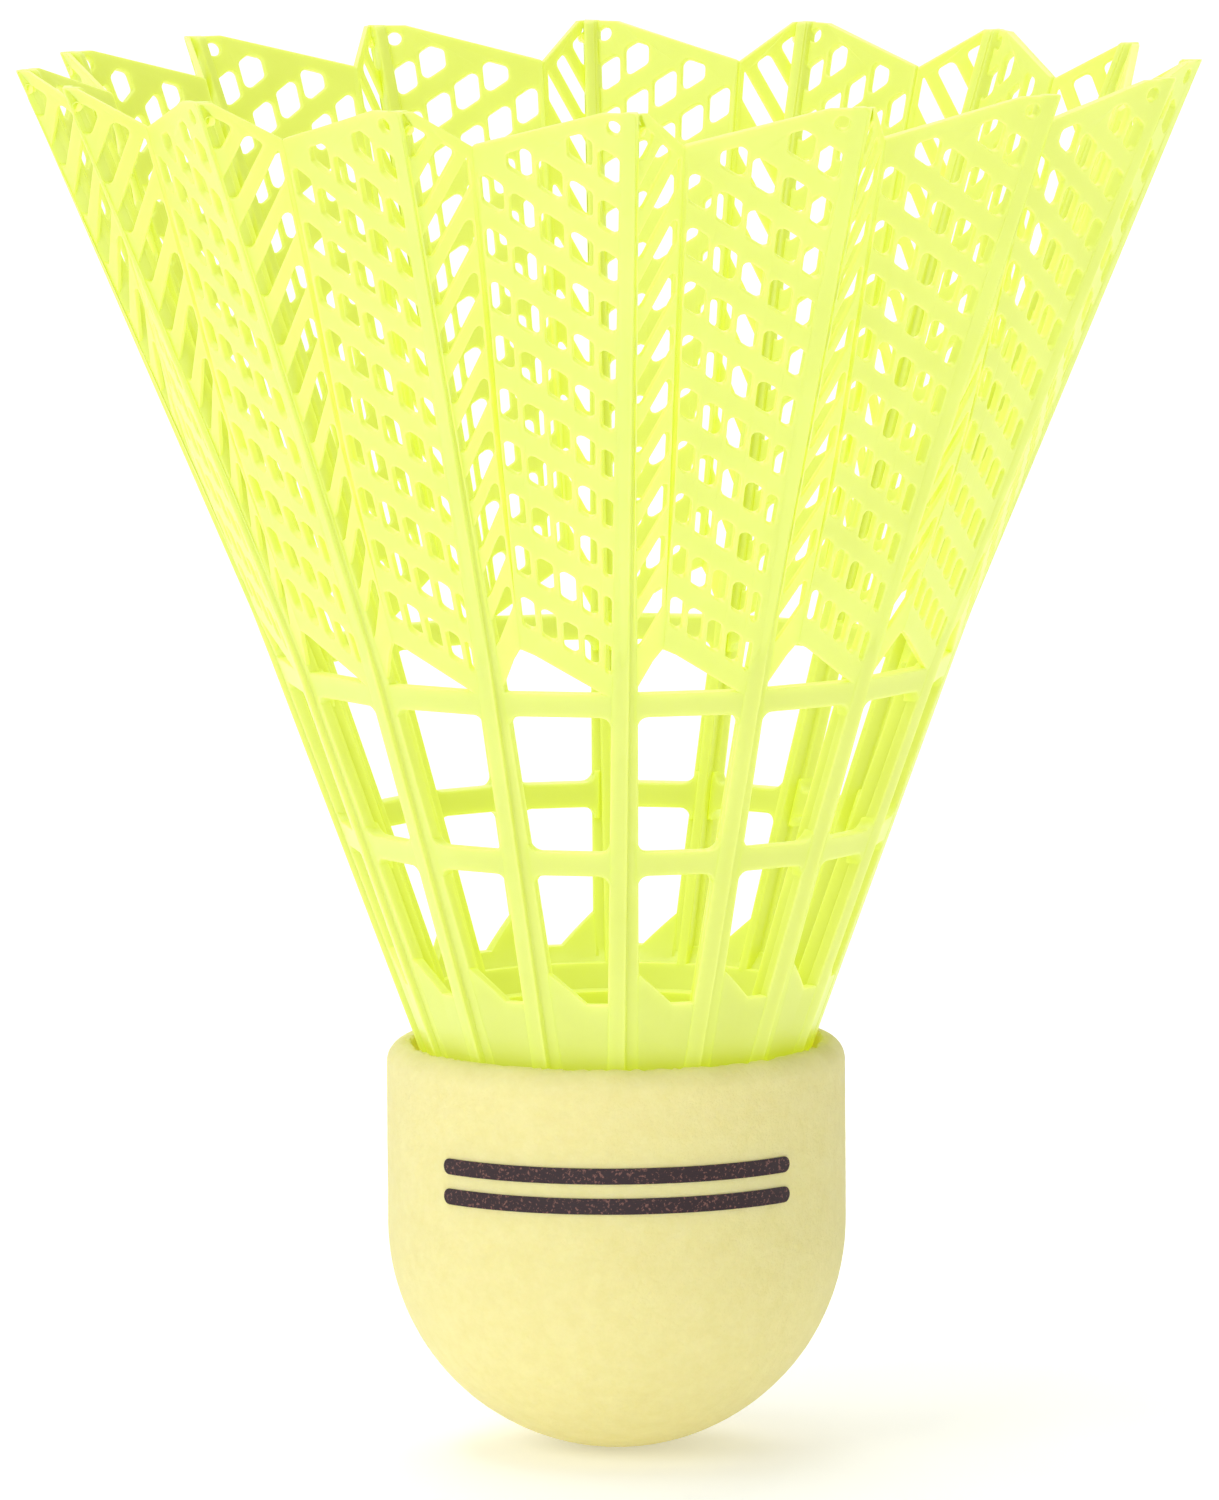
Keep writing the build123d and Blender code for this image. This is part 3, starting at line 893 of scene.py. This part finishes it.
def foam():
    """Pale yellow moulded foam: matt, finely grained, a little mottled."""
    material, tree, shader = new_material("moulded_foam")
    mottle = noise_node(tree, 900, 8, 0.7)
    tint = colour_ramp(tree, mottle.outputs["Fac"], (
        (0.3, (0.87, 0.785, 0.34)), (0.7, (0.925, 0.845, 0.41))))
    tree.links.new(tint.outputs["Color"], shader.inputs["Base Color"])
    shader.inputs["Roughness"].default_value = 0.85
    grain = noise_node(tree, 2300, 5, 0.65)
    bumped(tree, shader, grain.outputs["Fac"], 0.7, 0.00016)
    shader.inputs["Specular IOR Level"].default_value = 0.3
    shader.inputs["Subsurface Weight"].default_value = 0.4
    shader.inputs["Subsurface Radius"].default_value = (1.0, 0.85, 0.35)
    shader.inputs["Subsurface Scale"].default_value = 0.002
    return material


def ink():
    """Dark maroon pad-printed ink with pinholes where it missed the foam's grain."""
    material, tree, shader = new_material("printed_ink")
    speck = noise_node(tree, 5200, 2, 0.7)
    tint = colour_ramp(tree, speck.outputs["Fac"], (
        (0.56, (0.022, 0.005, 0.009)), (0.66, (0.20, 0.085, 0.07))))
    tree.links.new(tint.outputs["Color"], shader.inputs["Base Color"])
    tree.links.new(value_range(tree, speck.outputs["Fac"], 0.45, 0.7), shader.inputs["Roughness"])
    bumped(tree, shader, speck.outputs["Fac"], 0.3, 0.00005)
    return material


def glue():
    """Cured adhesive, cloudy and slightly uneven."""
    material, tree, shader = new_material("cured_glue")
    cloud = noise_node(tree, 300, 3)
    tint = colour_ramp(tree, cloud.outputs["Fac"], (
        (0.35, (0.70, 0.68, 0.52)), (0.65, (0.82, 0.80, 0.66))))
    tree.links.new(tint.outputs["Color"], shader.inputs["Base Color"])
    tree.links.new(value_range(tree, cloud.outputs["Fac"], 0.25, 0.45), shader.inputs["Roughness"])
    return material


# --- Assembly -------------------------------------------------------------------------------

NYLON, FOAM, INK, GLUE = nylon(), foam(), ink(), glue()


def add_piece(name, verts, faces, material, slot, nodes):
    """Builds one visible piece that stands for its CAD nodes and rides on the body."""
    piece = collect(name, verts, outward_faces(verts, faces))
    piece.data.materials.append(material)
    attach(piece, "root")
    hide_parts(*nodes)
    return piece


def joined(parts):
    """One list of verts and faces from several."""
    verts, faces = [], []
    for part_verts, part_faces in parts:
        base = len(verts)
        verts += part_verts
        faces += [tuple(i + base for i in face) for face in part_faces]
    return verts, faces


def round_the_skirt(part):
    """The first vane's part repeated at every stem, as one mesh."""
    verts, faces = part
    return joined([(turned(verts, number), faces) for number in range(VANE_COUNT)])


wide_panel, narrow_panel = build_panels()
stem_shape = build_stem()
for vane in range(VANE_COUNT):
    label = f"{vane + 1:02d}"
    for kind, node, (verts, faces) in (
        ("moulded_stem", "stem", stem_shape),
        ("pierced_wide_panel", "wide_panel", wide_panel),
        ("pierced_narrow_panel", "narrow_panel", narrow_panel),
    ):
        piece_name, stands_for = f"{kind}_{label}", [f"{node}_{label}"]
        add_piece(piece_name, turned(verts, vane), faces, NYLON, "nylon", stands_for)

upper_hoop = round_the_skirt(build_hoop(*UPPER_HOOP, TOP_FLARE))
lower_hoop = round_the_skirt(build_hoop(*LOWER_HOOP, FLARE))
add_piece("moulded_upper_hoop", *upper_hoop, NYLON, "nylon", ["upper_hoop"])
add_piece("moulded_lower_hoop", *lower_hoop, NYLON, "nylon", ["lower_hoop"])
add_piece("moulded_collar", *build_collar(), NYLON, "nylon", ["collar"])
add_piece("moulded_spigot", *build_spigot(), NYLON, "nylon", ["spigot"])
add_piece("moulded_foam_head", *build_head(), FOAM, "foam", ["foam_head"])
stripes = joined([build_stripe(low) for low in STRIPE_HEIGHTS])
add_piece("printed_front_stripes", *stripes, INK, "ink", ["printed_stripes"])
glue_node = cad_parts["glue_film"]
glue_node.data.materials.clear()
glue_node.data.materials.append(GLUE)

# --- Floor, light and camera ------------------------------------------------------------------


def backdrop():
    """A pale floor that sweeps up behind the object in one curve."""
    front, back, bend, height, half_width = -4.0, 4.0, 0.8, 2.2, 4.0  # metres
    profile = [(front, 0.0), (0.0, 0.0), (back - bend, 0.0)]
    for i in range(1, 17):
        angle = math.radians(90 * i / 16)
        profile.append((back - bend + bend * math.sin(angle), bend - bend * math.cos(angle)))
    profile.append((back, height))
    verts, faces = [], []
    for y, z in profile:
        verts += [(-half_width, y, z), (half_width, y, z)]
    for i in range(len(profile) - 1):
        faces.append((2 * i, 2 * i + 1, 2 * i + 3, 2 * i + 2))
    mesh = bpy.data.meshes.new("studio_sweep")
    mesh.from_pydata(verts, [], faces)
    finish_mesh(mesh, smooth_angle=60)
    sweep = bpy.data.objects.new("studio_sweep", mesh)
    bpy.context.collection.objects.link(sweep)
    material, tree, shader = new_material("studio_paper")
    shader.inputs["Roughness"].default_value = 0.9
    paper = noise_node(tree, 30, 2)
    tint = colour_ramp(tree, paper.outputs["Fac"], (
        (0.3, (0.93, 0.93, 0.93)), (0.7, (0.95, 0.95, 0.95))))
    tree.links.new(tint.outputs["Color"], shader.inputs["Base Color"])
    shader.inputs["Emission Color"].default_value = (1, 1, 1, 1)
    shader.inputs["Emission Strength"].default_value = 0.25
    mesh.materials.append(material)


def area_light(name, place, target, size, watts):
    """A square softbox that faces its target."""
    data = bpy.data.lights.new(name, "AREA")
    data.shape, data.size, data.energy = "SQUARE", size, watts
    lamp = bpy.data.objects.new(name, data)
    lamp.location = place
    lamp.rotation_euler = (Vector(target) - Vector(place)).to_track_quat("-Z", "Y").to_euler()
    bpy.context.collection.objects.link(lamp)


def camera():
    """The viewpoint: far off, looking a little down at the middle of the object."""
    distance, width_seen = 0.7877, 0.0688  # metres; the width is the picture's at the target
    elevation, roll = math.radians(7.376), math.radians(-0.345)
    target = Vector((-0.000265, 0, 0.03974))
    back = Vector((0, -math.cos(elevation), math.sin(elevation)))
    right, up = Vector((1, 0, 0)), Vector((0, math.sin(elevation), math.cos(elevation)))
    side = right * math.cos(roll) + up * math.sin(roll)
    top = up * math.cos(roll) - right * math.sin(roll)
    data = bpy.data.cameras.new("main_camera")
    data.sensor_fit, data.sensor_width = "HORIZONTAL", 36.0
    data.lens = data.sensor_width * distance / width_seen
    data.clip_start, data.clip_end = 0.01, 20
    viewer = bpy.data.objects.new("main_camera", data)
    rotation = Matrix((side, top, back)).transposed()
    viewer.matrix_world = Matrix.Translation(target + back * distance) @ rotation.to_4x4()
    bpy.context.collection.objects.link(viewer)
    bpy.context.scene.camera = viewer


def studio():
    """Even white surroundings and soft lights, most of them from the front left and above."""
    world = bpy.data.worlds.new("studio_world")
    world.use_nodes = True
    world.node_tree.nodes["Background"].inputs["Color"].default_value = (1, 1, 1, 1)
    world.node_tree.nodes["Background"].inputs["Strength"].default_value = 0.4
    bpy.context.scene.world = world
    middle = (0, 0, 0.04)
    area_light("key_left", (-0.6, -0.6, 0.5), middle, 0.5, 1.9)
    area_light("fill_right", (0.8, -0.5, 0.25), middle, 0.6, 0.05)
    area_light("front_low", (-0.1, -0.95, 0.12), (0, 0, 0.02), 0.5, 1.6)
    area_light("soft_top", (-0.15, 0.0, 0.85), middle, 0.5, 3.2)
    area_light("floor_wash", (0, 1.3, 1.3), (0, 1.1, 0), 1.2, 9.0)
    view = bpy.context.scene.view_settings
    view.view_transform, view.look, view.exposure = "Standard", "None", 0.0


backdrop()
studio()
camera()
